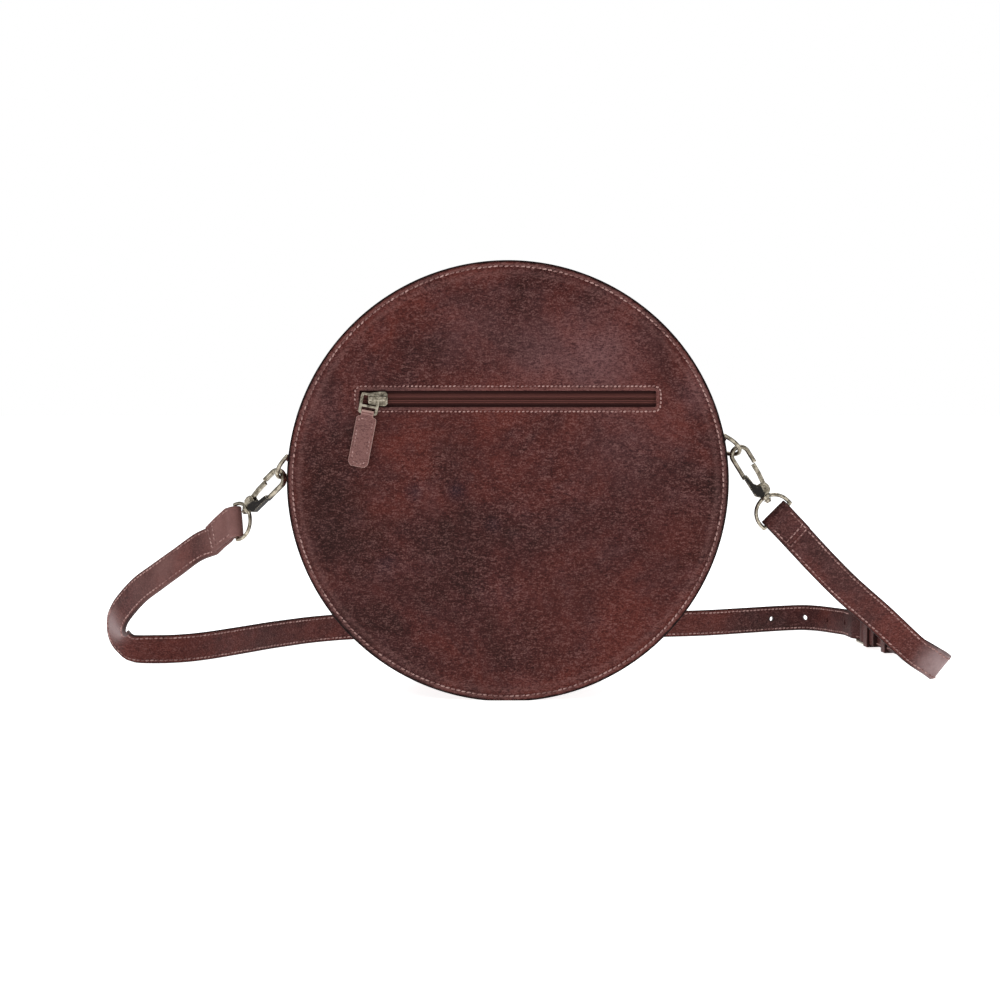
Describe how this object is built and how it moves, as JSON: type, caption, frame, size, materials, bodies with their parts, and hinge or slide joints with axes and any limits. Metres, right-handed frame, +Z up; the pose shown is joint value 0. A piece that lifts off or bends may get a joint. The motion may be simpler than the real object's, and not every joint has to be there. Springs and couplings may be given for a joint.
{
  "type": "shoulder bag",
  "caption": "Round leather shoulder bag standing on its rim, with zipped outer pocket, zipped gusset and a buckled strap on snap hooks.",
  "frame": {"origin": "on the ground under the middle of the bag, halfway between its two round panels", "axes": "+Z up, +X to the right of the pocket side, the pocket side faces -Y"},
  "size_m": [0.4634, 0.2801, 0.22],
  "materials": {
    "leather": "grained, semi-matte, mottled burgundy brown",
    "metal": "antique, satin with dark patina",
    "zip_tape": "woven, matte",
    "lining": "plain cotton",
    "board": "stiffening board"
  },
  "bodies": {
    "bag": {"pocket_panel": "leather", "plain_panel": "leather", "pocket_board": "board", "plain_board": "board", "pocket_lining": "lining", "plain_lining": "lining", "gusset_base": "leather", "gusset_top_front": "leather", "gusset_top_back": "leather", "gusset_lining": "lining", "pocket_pouch": "lining", "pocket_zip_tape": "zip_tape", "pocket_zip_coil": "zip_tape", "main_zip_tape": "zip_tape", "main_zip_coil": "zip_tape", "main_zip_stops": "metal", "ring_tab_left": "leather", "ring_tab_right": "leather", "swivel_loop_left": "metal", "swivel_loop_right": "metal", "strap_long": "leather", "strap_short": "leather", "fixed_keeper": "leather"},
    "pocket_slider": {"pocket_slider": "metal"},
    "pocket_link": {"pocket_link": "metal"},
    "pocket_tab": {"pocket_tab": "leather"},
    "main_slider": {"main_slider": "metal"},
    "main_link": {"main_link": "metal"},
    "main_tab": {"main_tab": "leather"},
    "ring_left": {"ring_left": "metal"},
    "ring_right": {"ring_right": "metal"},
    "hook_left": {"hook_left": "metal", "gate_pin_left": "metal", "gate_spring_left": "metal", "swivel_rivet_left": "metal"},
    "hook_right": {"hook_right": "metal", "gate_pin_right": "metal", "gate_spring_right": "metal", "swivel_rivet_right": "metal"},
    "gate_left": {"gate_left": "metal"},
    "gate_right": {"gate_right": "metal"},
    "buckle_frame": {"buckle_frame": "metal"},
    "buckle_prong": {"buckle_prong": "metal"},
    "slide_keeper": {"slide_keeper": "leather"}
  },
  "joints": [
    {"name": "pocket_zip_travel", "type": "slide", "parent": "bag", "child": "pocket_slider", "axis": [1, 0, 0], "range_m": [0, 0.129]},
    {"name": "pocket_link_swing", "type": "hinge", "parent": "pocket_slider", "child": "pocket_link", "pos_m": [-0.0681, -0.0366, 0.151], "axis": [0, 1, 0], "range_deg": [-45, 60]},
    {"name": "pocket_tab_lift", "type": "hinge", "parent": "pocket_link", "child": "pocket_tab", "pos_m": [-0.06946, -0.0366, 0.14399], "axis": [-0.9816, 0, 0.1908], "range_deg": [0, 120]},
    {"name": "main_zip_travel", "type": "hinge", "parent": "bag", "child": "main_slider", "pos_m": [0, 0, 0.1095], "axis": [0, 1, 0], "range_deg": [0, 110]},
    {"name": "main_link_lift", "type": "hinge", "parent": "main_slider", "child": "main_link", "pos_m": [-0.08858, 0, 0.1692], "axis": [0, 1, 0], "range_deg": [0, 130]},
    {"name": "main_tab_lift", "type": "hinge", "parent": "main_link", "child": "main_tab", "pos_m": [-0.09582, 0, 0.16354], "axis": [0, 1, 0], "range_deg": [0, 80]},
    {"name": "ring_swing_left", "type": "hinge", "parent": "bag", "child": "ring_left", "pos_m": [-0.10988, 0, 0.11911], "axis": [0.2827, 0.9272, -0.2458], "range_deg": [-1, 4]},
    {"name": "hook_swivel_left", "type": "hinge", "parent": "bag", "child": "hook_left", "pos_m": [-0.13434, 0.00973, 0.09403], "axis": [0.6634, -0.383, 0.6428], "range_deg": [-4, 4]},
    {"name": "gate_left", "type": "hinge", "parent": "hook_left", "child": "gate_left", "pos_m": [-0.13279, 0.009, 0.09807], "axis": [0.5376, 0.8415, -0.0534], "range_deg": [0, 18], "stiffness_Nm_per_rad": 0.02, "springref_deg": -17.19},
    {"name": "ring_swing_right", "type": "hinge", "parent": "bag", "child": "ring_right", "pos_m": [0.10862, 0, 0.12865], "axis": [-0.2034, 0.9135, -0.3522], "range_deg": [0, 4]},
    {"name": "hook_swivel_right", "type": "hinge", "parent": "bag", "child": "hook_right", "pos_m": [0.13224, 0, 0.10114], "axis": [-0.5299, 0, 0.848], "range_deg": [-2, 4]},
    {"name": "gate_right", "type": "hinge", "parent": "hook_right", "child": "gate_right", "pos_m": [0.13187, 0, 0.10551], "axis": [0, -1, 0], "range_deg": [0, 18], "stiffness_Nm_per_rad": 0.02, "springref_deg": -17.19},
    {"name": "buckle_tilt", "type": "hinge", "parent": "bag", "child": "buckle_frame", "pos_m": [0.21571, 0.16764, 0.0104], "axis": [0, 0, 1], "range_deg": [-3, 3]},
    {"name": "prong_lift", "type": "hinge", "parent": "buckle_frame", "child": "buckle_prong", "pos_m": [0.21571, 0.16764, 0.0104], "axis": [0, 0, -1], "range_deg": [0, 4]},
    {"name": "keeper_travel", "type": "slide", "parent": "bag", "child": "slide_keeper", "axis": [0.1305, -0.9914, 0], "range_m": [0, 0.012]}
  ]
}
